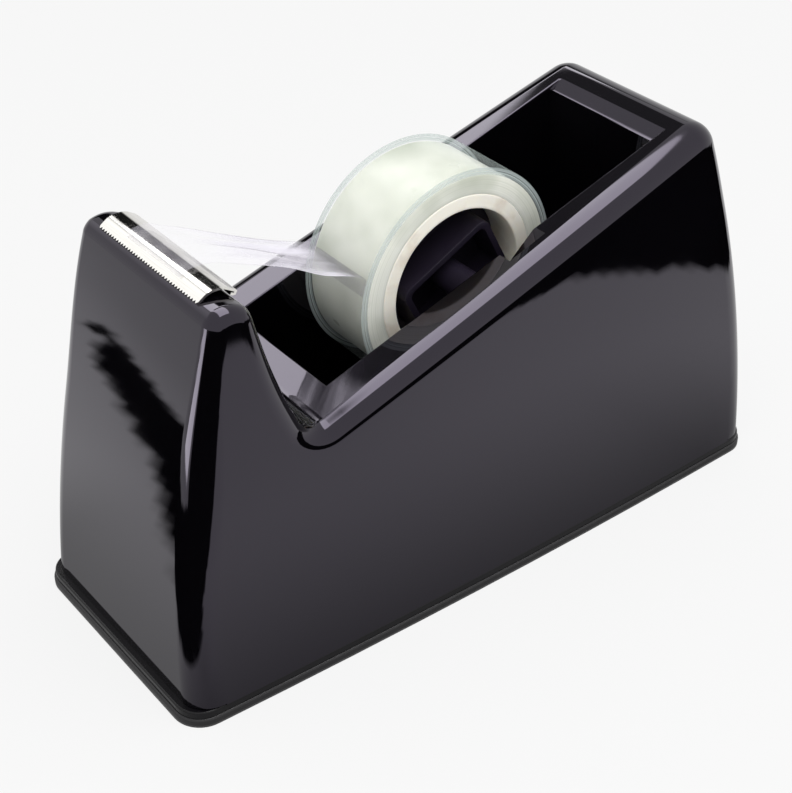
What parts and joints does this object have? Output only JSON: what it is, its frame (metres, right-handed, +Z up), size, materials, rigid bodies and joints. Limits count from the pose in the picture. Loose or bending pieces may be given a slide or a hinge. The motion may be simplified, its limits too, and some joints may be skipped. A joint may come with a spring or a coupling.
{
  "type": "tape dispenser",
  "caption": "Weighted desk tape dispenser: tall drafted glossy housing with a toothed steel cutter on its nose and a sloping open well where a roll of clear tape turns on a lift-out hub.",
  "frame": {"origin": "middle of the underside of the anti-slip pad, on the desk", "axes": "+Z up, +Y along the length towards the rear, +X across the width; the cutter is at the -Y end"},
  "size_m": [0.0502, 0.1258, 0.0706],
  "materials": {
    "shell_black": "high gloss moulded, black",
    "plate_black": "satin moulded, black",
    "pad_black": "soft matt foam rubber",
    "screw_steel": "zinc plated",
    "ballast_iron": "rough cast",
    "blade_steel": "bright rolled strip",
    "axle_steel": "ground pin",
    "tape_film": "clear thin film",
    "hub_black": "satin moulded, black",
    "core_cream": "satin moulded, cream",
    "tape_clear": "wound clear film, slightly green"
  },
  "bodies": {
    "housing": {"outer_shell": "shell_black", "base_plate": "plate_black", "anti_slip_pad": "pad_black", "base_screws": "screw_steel", "centre_ballast": "ballast_iron", "rear_ballast": "ballast_iron", "cutter_blade": "blade_steel"},
    "axle_carrier": {"hub_axle": "axle_steel", "tape_leader": "tape_film"},
    "roll": {"hub_drum": "hub_black", "tape_core": "core_cream", "tape_winding": "tape_clear"}
  },
  "joints": [
    {"name": "roll_lift", "type": "slide", "parent": "housing", "child": "axle_carrier", "axis": [0, 0.7379, 0.6749], "range_m": [0, 0.02]},
    {"name": "roll_spin", "type": "hinge", "parent": "axle_carrier", "child": "roll", "pos_m": [0, 0.0023, 0.0505], "axis": [1, 0, 0], "continuous": true}
  ]
}
